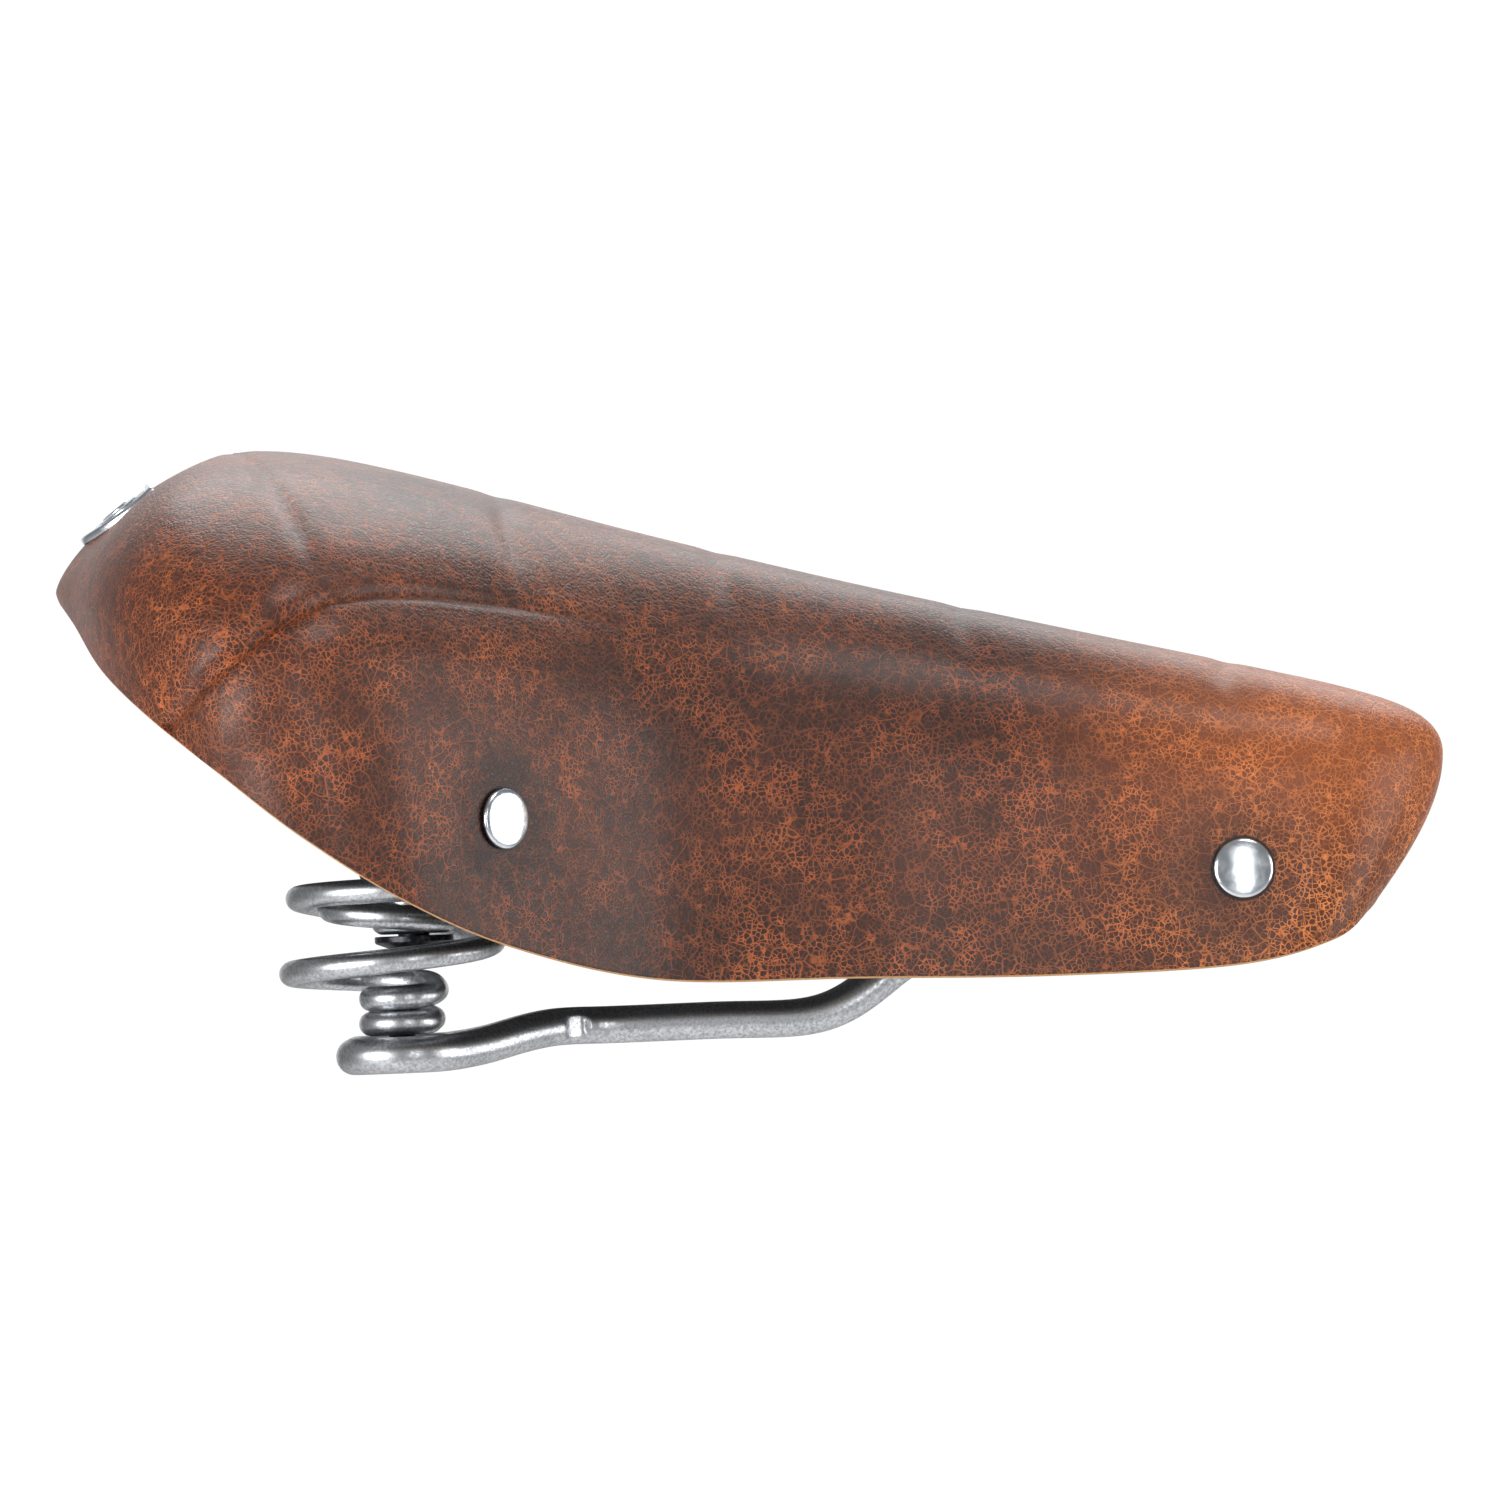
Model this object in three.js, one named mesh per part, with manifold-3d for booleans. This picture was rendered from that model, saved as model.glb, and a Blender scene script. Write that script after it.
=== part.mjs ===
// Sprung bicycle saddle. Millimetres: +X to the nose, +Y to the rider's left, +Z up.
// The origin is midway between the rails, in the middle of their straight clamping stretch.
import * as THREE from 'three';
import { mergeVertices } from 'three/addons/utils/BufferGeometryUtils.js';
import Module from 'manifold-3d';

const wasm = await Module();
wasm.setup();

const RAIL_D = 7;             // steel rail wire
const RAIL_Y = 22;            // half the rail spacing
const SPRING_D = 4.7;         // spring wire
const SPRING_X = -60;
const SPRING_Y = 45;
const SPRING_LEAN = 3;        // how far forward of its foot the spring's top sits
const EYE_R = 9.5;            // centreline of the rail's rear eyes
const EYE_Z = -3.9;
const STACK_Z = 2.2;          // centre of the spring's lowest turn
const SEAT_RING_Z = 21.4;     // centre of the spring's top ring
const PIVOT = { x: 112, z: 36 };
const COVER_T = 2.2;
const SHELL_T = 3;
const GAP = 0.4;              // between cover, padding and base shell
const SHELL_END = 1.72;       // where the base shell's wall stops, in section parameter
const PAD_END = 0.8;          // where the padding's edge lies on the crown
const AROUND = 44;            // sections round the saddle
const DOWN = 5;               // steps across the crown of a section

const SLOTS = {
  leather: { color: 0x5a3626, roughness: 0.5 },
  foam: { color: 0xc9b98f, roughness: 0.9 },
  plastic: { color: 0x1b1b1d, roughness: 0.6 },
  steel: { color: 0xa9acaf, roughness: 0.35, metalness: 1 },
  dark_steel: { color: 0x3c3d40, roughness: 0.4, metalness: 1 },
  chrome: { color: 0xd5d8dc, roughness: 0.12, metalness: 1 },
  enamel: { color: 0x202226, roughness: 0.25 },
};

const group = new THREE.Group();

function place(name, slot, geometry) {
  const mesh = new THREE.Mesh(geometry, new THREE.MeshStandardMaterial(SLOTS[slot]));
  mesh.name = name;
  group.add(mesh);
}

// ---- solids ----------------------------------------------------------------

function solid(geometry) {
  const bare = geometry.clone();
  bare.deleteAttribute('normal');
  bare.deleteAttribute('uv');
  const welded = mergeVertices(bare, 1e-4);
  return new wasm.Manifold(new wasm.Mesh({
    numProp: 3,
    vertProperties: new Float32Array(welded.attributes.position.array),
    triVerts: new Uint32Array(welded.index.array),
  }));
}

function geometryOf(manifold) {
  const mesh = manifold.getMesh();
  const geometry = new THREE.BufferGeometry();
  geometry.setAttribute('position', new THREE.BufferAttribute(new Float32Array(mesh.vertProperties), 3));
  geometry.setIndex(new THREE.BufferAttribute(new Uint32Array(mesh.triVerts), 1));
  return geometry;
}

function cut(geometry, tools) {
  let body = solid(geometry);
  for (const tool of tools) body = body.subtract(solid(tool));
  return geometryOf(body);
}

// Turned solid: [radius, height] pairs round +Z.
function turned(profile, segments = 16) {
  const points = profile.map(([r, z]) => new THREE.Vector2(r, z));
  return new THREE.LatheGeometry(points, segments).rotateX(Math.PI / 2);
}

function rod(radius, low, high, segments = 16) {
  return turned([[0, low], [radius, low], [radius, high], [0, high]], segments);
}

function block(lowX, highX, halfY, lowZ, highZ) {
  const box = new THREE.BoxGeometry(highX - lowX, 2 * halfY, highZ - lowZ);
  return box.translate((lowX + highX) / 2, 0, (lowZ + highZ) / 2);
}

// Round wire along a curve, with closed ends.
function wire(curve, diameter, steps, sides) {
  const outline = new THREE.Shape();
  outline.absarc(0, 0, diameter / 2, 0, 2 * Math.PI);
  return new THREE.ExtrudeGeometry(outline, { extrudePath: curve, steps, curveSegments: sides });
}

// ---- the saddle's skin -----------------------------------------------------

// Left half, tail to nose. Every section runs from the spine over its shoulder to the hem.
const SPINE = [[-88, 113.2], [-86.5, 113.2], [-83, 113.2], [-78, 112.8], [-72, 111.9], [-65, 110.4], [-53, 107.2],
  [-35, 101.8], [-8, 93.6], [28, 83.5], [65, 74], [96, 66.3], [109, 63], [116, 61.2], [118, 60.6]];
const SHOULDER = [[-123.4, 0, 87.6], [-119.4, 32, 85.5], [-114.2, 63, 81.4], [-105.5, 88, 74.8],
  [-93.6, 102, 66.9], [-77.3, 106, 59.9], [-58.3, 99, 51.6], [-37.5, 80, 45.2], [-9.7, 52, 38.7],
  [27.8, 37, 34.5], [65.1, 31.5, 32.4], [100.3, 29, 34.4], [124.4, 24.5, 38.3], [138.2, 12.5, 43.7],
  [142.3, 0, 46]];
const HEM = [[-122.9, 0, 85.7], [-119.5, 31.5, 80.9], [-114, 61.5, 71.7], [-105.1, 86, 62.4], [-92.8, 100, 51.8],
  [-77.1, 104, 38.7], [-57.9, 97, 25.7], [-37.3, 79, 15.9], [-9.7, 52.5, 8.8], [27.9, 38, 7.6],
  [65.1, 32.5, 6.5], [100.3, 30, 7.1], [119.1, 25, 11.1], [126.3, 13, 16.1], [128.8, 0, 18.7]];
const SIDE_ROUND = 2.4;       // superellipse exponent of the crown's sides
const TAIL = { ease: 1, reach: 7 };     // how much flatter the tail and the nose are, and how soon that fades
const NOSE = { ease: 0.45, reach: 12 };
const NOSE_SLOPE = -0.25;

function loop(points) {
  const back = points.slice(1, -1).reverse().map(([x, y, z]) => [x, -y, z]);
  const all = [...points, ...back].map((p) => new THREE.Vector3(...p));
  return new THREE.CatmullRomCurve3(all, true, 'catmullrom', 0.5);
}

const spineCurve = loop(SPINE.map(([x, z]) => [x, 0, z]));
const shoulderCurve = loop(SHOULDER);
const hemCurve = loop(HEM);

// Depth of the padding at the spine: it grows from the nose to the seat and thins again on the tail.
function shellDrop(x) {
  return 12 + 0.152 * (118 - x) - 0.62 * Math.max(0, -55 - x);
}

// Point of the skin, t round the saddle and v down a section: 0 spine, 1 shoulder, 2 hem.
function skin(t, v, inset, drop) {
  const crown = spineCurve.getPoint(t);
  const shoulder = shoulderCurve.getPoint(t);
  const hem = hemCurve.getPoint(t);
  const inward = new THREE.Vector3(crown.x - shoulder.x, crown.y - shoulder.y, 0).normalize();
  shoulder.addScaledVector(inward, inset);
  hem.addScaledVector(inward, inset);
  if (v > 1) {
    const bend = shoulder.clone().setZ(shoulder.z - 0.4 * (shoulder.z - hem.z));
    return new THREE.QuadraticBezierCurve3(shoulder, bend, hem).getPoint(v - 1);
  }
  const lengthwise = Math.cos(2 * Math.PI * t);
  const { ease, reach } = lengthwise > 0 ? TAIL : NOSE;
  const power = 2 / (SIDE_ROUND - ease * Math.abs(lengthwise) ** reach);
  const across = Math.sin(v * Math.PI / 2) ** power;
  const up = Math.cos(v * Math.PI / 2) ** power;
  const crownZ = crown.z - drop(crown.x);
  const x = crown.x + (shoulder.x - crown.x) * across;
  const tilt = NOSE_SLOPE * Math.max(x - crown.x, 0) * (1 - across);
  return new THREE.Vector3(x, shoulder.y * across, shoulder.z + (crownZ - shoulder.z) * up + tilt);
}

function sectionSteps(end) {
  const steps = [];
  for (let i = 0; i / DOWN <= Math.min(1, end); i += 1) steps.push(i / DOWN);
  if (end > 1) [1 / 3, 2 / 3, 1].forEach((part) => steps.push(1 + (end - 1) * part));
  return steps;
}

// Closed layer between two skins, each given by its inset at the sides and its drop at the crown.
function layer(outer, inner, end) {
  const steps = sectionSteps(end);
  const rows = steps.length;
  const vertices = [];
  for (const { inset, drop } of [outer, inner]) {
    for (let i = 0; i < AROUND; i += 1) {
      for (const v of steps) vertices.push(...skin(i / AROUND, v, inset, drop).toArray());
    }
  }
  const indices = [];
  const quad = (a, b, c, d) => indices.push(a, b, c, a, c, d);
  const inside = AROUND * rows;
  for (let i = 0; i < AROUND; i += 1) {
    const here = i * rows;
    const next = ((i + 1) % AROUND) * rows;
    for (let j = 0; j < rows - 1; j += 1) {
      quad(here + j, next + j, next + j + 1, here + j + 1);
      quad(inside + here + j, inside + here + j + 1, inside + next + j + 1, inside + next + j);
    }
    const rim = rows - 1;
    quad(here + rim, next + rim, inside + next + rim, inside + here + rim);
  }
  const geometry = new THREE.BufferGeometry();
  geometry.setAttribute('position', new THREE.Float32BufferAttribute(vertices, 3));
  geometry.setIndex(indices);
  return dropSlivers(mergeVertices(geometry, 1e-3));
}

// Leaves out the triangles that the shared spine points flatten to nothing.
function dropSlivers(geometry) {
  const source = geometry.index.array;
  const kept = [];
  for (let k = 0; k < source.length; k += 3) {
    const [a, b, c] = [source[k], source[k + 1], source[k + 2]];
    if (a !== b && b !== c && c !== a) kept.push(a, b, c);
  }
  geometry.setIndex(kept);
  return geometry;
}

const OUTSIDE = { inset: 0, drop: () => 0 };
const COVER_INSIDE = { inset: COVER_T, drop: () => COVER_T };
const PAD_TOP = { inset: COVER_T + GAP, drop: () => COVER_T + GAP };
const PAD_BOTTOM = { inset: COVER_T + 2 * GAP, drop: (x) => shellDrop(x) - GAP };
const SHELL_TOP = { inset: COVER_T + 3 * GAP, drop: shellDrop };
const SHELL_BOTTOM = { inset: SHELL_TOP.inset + SHELL_T, drop: (x) => shellDrop(x) + SHELL_T };

// Frame on the skin: where a stud standing at (t, v) sits and the way it points.
function standing(t, v) {
  const at = skin(t, v, 0, OUTSIDE.drop);
  const along = skin(t + 1e-4, v, 0, OUTSIDE.drop).sub(at);
  const down = skin(t, v + 1e-3, 0, OUTSIDE.drop).sub(at);
  const outward = new THREE.Vector3().crossVectors(along, down).normalize();
  return { at, outward };
}

function stoodAt({ at, outward }, geometry) {
  const turn = new THREE.Quaternion().setFromUnitVectors(new THREE.Vector3(0, 0, 1), outward);
  return geometry.applyQuaternion(turn).translate(at.x, at.y, at.z);
}

// ---- rivets and badge ------------------------------------------------------

const RIVETS = { rear: { t: 0.2485, v: 1.22 }, front: { t: 0.395, v: 1.4 } };
const CAP_R = 5.75;
const SIDES = ['left', 'right'];

const rivetSeats = [];
for (const [end, { t, v }] of Object.entries(RIVETS)) {
  for (const side of SIDES) {
    rivetSeats.push({ name: `${end}_${side}`, seat: standing(side === 'left' ? t : 1 - t, v) });
  }
}

// The cap's underside is at height -0.3, in the flat seat pressed into the cover.
function rivetCap() {
  return turned([[0, -7.6], [1.5, -7.6], [1.5, -0.3], [CAP_R, -0.3], [CAP_R, 0.3], [4.6, 1.1], [2.5, 1.6],
    [0, 1.75]], 16);
}

function rivetWasher() {
  return turned([[1.7, -7.9], [3.8, -7.9], [3.8, -7.1], [1.7, -7.1], [1.7, -7.9]], 16);
}

function rivetHole() {
  return turned([[0, -12], [1.9, -12], [1.9, -0.6], [CAP_R + 0.4, -0.6], [CAP_R + 0.4, 6], [0, 6]], 20);
}

// Badge on the tail: a plate with a straight top edge and a raised rim, bent to the tail's curve and let into it.
// Its outline is an ellipse round (middle, 0) whose top is cut straight at the distance top.
const BADGE = { v: 0.53, top: 8.7, middle: 3.7, halfLong: 12.4, halfWide: 13, rim: 1.6, bendR: 56 };

function plate(margin, low, high) {
  const points = [];
  for (let i = 0; i < 36; i += 1) {
    const a = 2 * Math.PI * (i + 0.5) / 36;
    const x = BADGE.middle + (BADGE.halfLong + margin) * Math.cos(a);
    points.push(new THREE.Vector2(Math.min(x, BADGE.top + margin), (BADGE.halfWide + margin) * Math.sin(a)));
  }
  const options = { depth: high - low, bevelEnabled: false };
  return new THREE.ExtrudeGeometry(new THREE.Shape(points), options).translate(0, 0, low);
}

function bentOnTail(geometry) {
  const bend = (vertex) => {
    vertex[2] -= vertex[1] ** 2 / (2 * BADGE.bendR);
  };
  return stoodAt(standing(0, BADGE.v), geometryOf(solid(geometry).refineToLength(4.5).warp(bend)));
}

function badgeFrame() {
  return bentOnTail(cut(plate(0, -0.6, 0.9), [plate(-BADGE.rim, -0.3, 3)]));
}

function badgeInlay() {
  return bentOnTail(plate(-BADGE.rim - 0.2, -0.1, 0.5));
}

// ---- cover, padding and base shell -----------------------------------------

function cover() {
  const holes = rivetSeats.map(({ seat }) => stoodAt(seat, rivetHole()));
  const badgeSeat = bentOnTail(plate(0.4, -0.9, 6));
  return cut(layer(OUTSIDE, COVER_INSIDE, 2), [...holes, badgeSeat]);
}

function springBoss(sign) {
  const top = 78;
  const profile = [[0, 25.9], [8.5, 25.9], [11, 34], [14, top], [0, top]];
  return turned(profile, 20).translate(SPRING_X + SPRING_LEAN, sign * SPRING_Y, 0);
}

function baseShell() {
  let body = solid(layer(SHELL_TOP, SHELL_BOTTOM, SHELL_END));
  const abovePlastic = solid(layer(OUTSIDE, SHELL_TOP, PAD_END));
  const posts = [springBoss(1), springBoss(-1), block(101, 123, 11, 43, 56)];
  for (const post of posts) body = body.add(solid(post).subtract(abovePlastic));
  const holes = rivetSeats.map(({ seat }) => stoodAt(seat, rod(1.9, -12, 6)));
  for (const sign of [1, -1]) {
    holes.push(rod(3.15, 20, 45).translate(SPRING_X + SPRING_LEAN, sign * SPRING_Y, 0));
  }
  for (const x of SCREW_X) holes.push(rod(1.75, 40, 49).translate(x, 0, 0));
  for (const hole of holes) body = body.subtract(solid(hole));
  return geometryOf(body);
}

// ---- rail wire -------------------------------------------------------------

// From the left eye's end, inside, round its rear and outer side, in to the clamping stretch, forward to the
// nose bar and back to the right eye.
function railCurve() {
  const eye = [];
  for (let deg = 320; deg >= 44; deg -= 23) {
    const a = deg * Math.PI / 180;
    eye.push([SPRING_X + EYE_R * Math.cos(a), SPRING_Y + EYE_R * Math.sin(a), EYE_Z]);
  }
  const run = [[-49.3, 47.3, -3.6], [-43.8, 41.3, -2.7], [-37.5, 34.9, -1.1], [-31.9, 28.6, -0.1], [-27.2, 24, 0.1],
    [-22, RAIL_Y, 0], [0, RAIL_Y, 0], [18, RAIL_Y, 0], [24, 21.9, 1.6], [29.5, 21.5, 4.8], [36, 21, 9.6],
    [60, 18.5, 22], [90, 14.5, 33.2], [103, 12.9, 35.9], [109, 11.2, PIVOT.z], [PIVOT.x, 7.6, PIVOT.z],
    [PIVOT.x, 3.8, PIVOT.z]];
  const left = [...eye, ...run];
  const right = left.map(([x, y, z]) => [x, -y, z]).reverse();
  const points = [...left, [PIVOT.x, 0, PIVOT.z], ...right].map((p) => new THREE.Vector3(...p));
  return new THREE.CatmullRomCurve3(points, false, 'centripetal');
}

// ---- springs ---------------------------------------------------------------

// [turns from +X, centreline radius, centre height], the right-hand spring seen from above.
const COIL = [[0.47, 5.9, STACK_Z], [0.75, 5.9, STACK_Z], [1, 5.9, 2.4], [1.22, 5.9, 4.5], [1.47, 5.9, 6.95],
  [1.75, 5.9, 7], [2, 6.5, 7.8], [2.2, 12.5, 9.7], [2.5, 20.7, 12.3], [2.75, 19.6, 14.2], [3, 18, 17.1], [3.25, 18.4, 22.2], [3.5, 18.9, 26.6], [3.75, 18.2, 27.6],
  [4, 17.4, 27.6], [4.25, 16.4, 26.6], [4.5, 14.2, 24.2], [4.75, 9.4, 22.1], [5, 6.2, SEAT_RING_Z],
  [5.4, 6, SEAT_RING_Z], [5.8, 6, SEAT_RING_Z]];

class CoilCurve extends THREE.Curve {
  constructor(sign) {
    super();
    this.sign = sign;
    this.keys = new THREE.CatmullRomCurve3(COIL.map((k) => new THREE.Vector3(...k)), false, 'centripetal');
  }

  getPoint(s, target = new THREE.Vector3()) {
    const { x: turns, y: radius, z: height } = this.keys.getPoint(s);
    const a = 2 * Math.PI * turns;
    const x = SPRING_X + SPRING_LEAN * THREE.MathUtils.smoothstep(turns, 4, 5);
    return target.set(x + radius * Math.cos(a), this.sign * (SPRING_Y - radius * Math.sin(a)), height);
  }
}

// ---- spring hardware, each turned about the spring's axis ------------------

function eyeCup() {
  return turned([[2.9, -3.9], [4.9, -3.9], [4.9, -7.2], [7.3, -7.2], [5.55, -4.8], [5.55, -2.4], [2.9, -2.4],
    [2.9, -3.9]], 20);
}

function lowerBolt() {
  return turned([[0, -7.1], [2.5, -7.1], [2.5, 6.3], [4.2, 9.3], [0, 9.3]], 16);
}

function lowerNut() {
  const outer = rod(4.4, -6.9, -4.2, 6);
  return cut(outer, [rod(2.65, -9, 0)]);
}

function upperBolt() {
  const flange = solid(turned([[0, 13.9], [4, 13.9], [7.5, 17], [7.5, 18.7], [0, 18.7]], 20));
  const shank = solid(rod(3, 18, 42));
  const socket = solid(rod(2.6, 13, 16.4, 6));
  return geometryOf(flange.add(shank).subtract(socket));
}

function upperSeat() {
  return turned([[3.3, 24.2], [7.8, 24.2], [7.8, 25.5], [3.3, 25.5], [3.3, 24.2]], 20);
}

// ---- nose clamp ------------------------------------------------------------

const SCREW_X = [PIVOT.x - 7.5, PIVOT.x + 7.5];
const BAR_HOLE_R = RAIL_D / 2 + 0.35;

function barHole() {
  return rod(BAR_HOLE_R, -20, 20, 28).rotateX(Math.PI / 2).translate(PIVOT.x, 0, PIVOT.z);
}

function screwHoles() {
  return SCREW_X.map((x) => rod(2.3, 20, 60).translate(x, 0, 0));
}

function noseBlock() {
  return cut(block(101, 123, 5.2, PIVOT.z + 0.4, 42.7), [barHole(), ...screwHoles()]);
}

function noseKeeper() {
  return cut(block(101, 123, 5.2, 30.4, PIVOT.z - 0.4), [barHole(), ...screwHoles()]);
}

function noseScrew() {
  return turned([[0, 27.6], [2.6, 27.6], [3.7, 28.8], [3.7, 30.1], [2, 30.1], [2, 42.6], [1.6, 42.9], [1.6, 47.4],
    [0, 47.4]], 16);
}

// ---- the whole saddle ------------------------------------------------------

place('cover', 'leather', cover());
place('padding', 'foam', layer(PAD_TOP, PAD_BOTTOM, PAD_END));
place('base_shell', 'plastic', baseShell());
place('badge_frame', 'chrome', badgeFrame());
place('badge_inlay', 'enamel', badgeInlay());
for (const { name, seat } of rivetSeats) {
  place(`rivet_${name}`, 'chrome', stoodAt(seat, rivetCap()));
  place(`rivet_washer_${name}`, 'steel', stoodAt(seat, rivetWasher()));
}
place('rail_wire', 'steel', wire(railCurve(), RAIL_D, 110, 5));
place('nose_block', 'plastic', noseBlock());
place('nose_keeper', 'steel', noseKeeper());
SCREW_X.forEach((x, i) => place(`nose_screw_${i + 1}`, 'dark_steel', noseScrew().translate(x, 0, 0)));

const SPRING_PIECES = {
  eye_cup: { slot: 'steel', make: eyeCup, x: SPRING_X },
  lower_bolt: { slot: 'dark_steel', make: lowerBolt, x: SPRING_X },
  lower_nut: { slot: 'steel', make: lowerNut, x: SPRING_X },
  upper_bolt: { slot: 'dark_steel', make: upperBolt, x: SPRING_X + SPRING_LEAN },
  upper_seat: { slot: 'steel', make: upperSeat, x: SPRING_X + SPRING_LEAN },
};
SIDES.forEach((side, i) => {
  const sign = 1 - 2 * i;
  place(`spring_${side}`, 'steel', wire(new CoilCurve(sign), SPRING_D, 110, 4));
  for (const [name, { slot, make, x }] of Object.entries(SPRING_PIECES)) {
    place(`${name}_${side}`, slot, make().translate(x, sign * SPRING_Y, 0));
  }
});

export default group;
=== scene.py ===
"""Looks of the sprung bicycle saddle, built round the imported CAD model. Table lengths are in millimetres."""

import math

import bmesh
import bpy
import numpy as np
from mathutils import Matrix, Vector


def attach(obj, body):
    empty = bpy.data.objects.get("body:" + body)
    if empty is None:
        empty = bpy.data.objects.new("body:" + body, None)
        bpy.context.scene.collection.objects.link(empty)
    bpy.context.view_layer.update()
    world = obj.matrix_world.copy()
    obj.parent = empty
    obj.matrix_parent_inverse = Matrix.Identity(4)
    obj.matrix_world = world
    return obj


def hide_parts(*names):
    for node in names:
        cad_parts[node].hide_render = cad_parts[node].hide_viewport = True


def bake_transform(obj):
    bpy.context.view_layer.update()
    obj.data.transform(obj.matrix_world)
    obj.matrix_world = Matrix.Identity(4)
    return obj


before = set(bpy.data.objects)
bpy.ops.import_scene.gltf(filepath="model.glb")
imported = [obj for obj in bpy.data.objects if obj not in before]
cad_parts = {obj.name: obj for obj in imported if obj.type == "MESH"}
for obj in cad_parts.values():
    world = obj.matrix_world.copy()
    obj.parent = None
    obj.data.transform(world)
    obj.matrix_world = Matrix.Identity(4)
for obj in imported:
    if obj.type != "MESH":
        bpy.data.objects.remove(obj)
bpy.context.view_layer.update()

MM = 0.001
FINE = 2          # mesh density

# Rail wire and springs: diameters, centre lines and heights; the pivot is the bar at the nose.
RAIL_D = 7.0
RAIL_Y = 22.0
SPRING_D = 4.7
SPRING_X = -60.0
SPRING_Y = 45.0
SPRING_LEAN = 3.0
EYE_R = 9.5
EYE_Z = -3.9
STACK_Z = 2.2
SEAT_RING_Z = 21.4
PIVOT_X = 112.0
PIVOT_Z = 36.0
SIDES = {"left": 1, "right": -1}

# The saddle's skin, left half from tail to nose: spine (x, z), widest line and hem (x, y, z).
SPINE = [(-88, 113.2), (-86.5, 113.2), (-83, 113.2), (-78, 112.8), (-72, 111.9), (-65, 110.4), (-53, 107.2),
         (-35, 101.8), (-8, 93.6), (28, 83.5), (65, 74), (96, 66.3), (109, 63), (116, 61.2), (118, 60.6)]
SHOULDER = [(-123.4, 0, 87.6), (-119.4, 32, 85.5), (-114.2, 63, 81.4), (-105.5, 88, 74.8), (-93.6, 102, 66.9),
            (-77.3, 106, 59.9), (-58.3, 99, 51.6), (-37.5, 80, 45.2), (-9.7, 52, 38.7), (27.8, 37, 34.5),
            (65.1, 31.5, 32.4), (100.3, 29, 34.4), (124.4, 24.5, 38.3), (138.2, 12.5, 43.7), (142.3, 0, 46)]
HEM = [(-122.9, 0, 85.7), (-119.5, 31.5, 80.9), (-114, 61.5, 71.7), (-105.1, 86, 62.4), (-92.8, 100, 51.8),
       (-77.1, 104, 38.7), (-57.9, 97, 25.7), (-37.3, 79, 15.9), (-9.7, 52.5, 8.8), (27.9, 38, 7.6),
       (65.1, 32.5, 6.5), (100.3, 30, 7.1), (119.1, 25, 11.1), (126.3, 13, 16.1), (128.8, 0, 18.7)]
# How square the sections are, and how much rounder they get at the tail and the nose.
SIDE_ROUND = 2.4
TAIL_EASE, TAIL_REACH = 1.0, 7
NOSE_EASE, NOSE_REACH = 0.45, 12
NOSE_SLOPE = -0.25

# Layers: thicknesses, insets from the skin, and how far down the skin each one reaches.
COVER_T = 1.7
PAD_INSET = 2.6
SHELL_INSET = 3.4
SHELL_T = 3.0
SHELL_END = 1.72
PAD_END = 0.8
PAD_GAP = 0.4
KEYS_ROUND = 28          # keys in each guide ring: columns of every skin mesh are a multiple of it
# The cut edge along the hem, from the outer face to the inner one: how far in and how far below the hem.
CUT_EDGE = [(0.12, 0.3), (0.45, 0.55), (0.85, 0.65), (1.25, 0.55), (1.58, 0.3)]

# Pressed channels across the crown: where each crosses the spine, how far forward it runs on its way down,
# and how far down the side it reaches (0 spine, 1 shoulder).
CHANNELS = [(-88.5, 19.0, 0.98), (-38.3, 6.5, 0.86), (3.8, 4.0, 0.82), (50.5, 2.5, 0.8),
            (101.2, -2.0, 0.75)]
CHANNEL_DEPTH = 0.85
CHANNEL_WIDTH = 2.3
# Style line pressed along each side, as (x, z).
CREASE = [(-106, 55), (-100.1, 61.6), (-93.5, 68.4), (-87.9, 72.8), (-79.2, 78.7), (-69.9, 82.8), (-60, 83.6),
          (-51.1, 83.1), (-36.3, 80.6), (-20.5, 77.4), (0, 73)]

# Places on the skin are (round it, down it), as skin() counts them.
RIVETS = {"rear": (0.2485, 1.22), "front": (0.395, 1.4)}
CAP_R = 5.75
BADGE_V = 0.53
BADGE_BEND_R = 56.0
BADGE_TOP, BADGE_MIDDLE, BADGE_LONG, BADGE_WIDE = 8.7, 3.7, 12.4, 13.0

CRIMP_X = -28.6          # stop mark on each rail

# Studio, in metres.
CAMERA_PLACE = Vector((-0.03, -4.0, 0.02))
CAMERA_AIM = Vector((0.0089, 0, 0.0517))
CAMERA_ROLL_DEG = 2.4
CAMERA_LENS = 498.24
FLOOR_Z, FLOOR_R = -0.9, 6.0
ROOM_DIM, ROOM_WHITE = 0.26, 1.03
# Softboxes: name, place, aim, (width, height), watts.
LIGHTS = [
    ("left_softbox", (-1.25, -1.2, 0.0), (-0.05, 0, 0.04), (1.2, 1.0), 32),
    ("right_softbox", (1.6, -0.25, 0.0), (0.03, 0, 0.04), (1.1, 1.0), 13),
    ("front_strip", (0.45, -1.3, 0.06), (0.03, 0, 0.04), (0.22, 0.9), 3),
    ("top_front", (0.7, -0.75, 1.5), (-0.05, 0, 0.06), (0.6, 0.6), 11),
    ("overhead", (0.2, 1.2, 1.25), (0.02, 0, 0.06), (1.6, 1.1), 20),
]


# ---- the skin ---------------------------------------------------------------

def loop(points):
    """The left half's points and their mirror image, as one closed ring."""
    left = np.array(points, float)
    right = left[-2:0:-1] * (1, -1, 1)
    return np.vstack([left, right])


SPINE_RING = loop([(x, 0, z) for x, z in SPINE])
SHOULDER_RING = loop(SHOULDER)
HEM_RING = loop(HEM)


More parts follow.
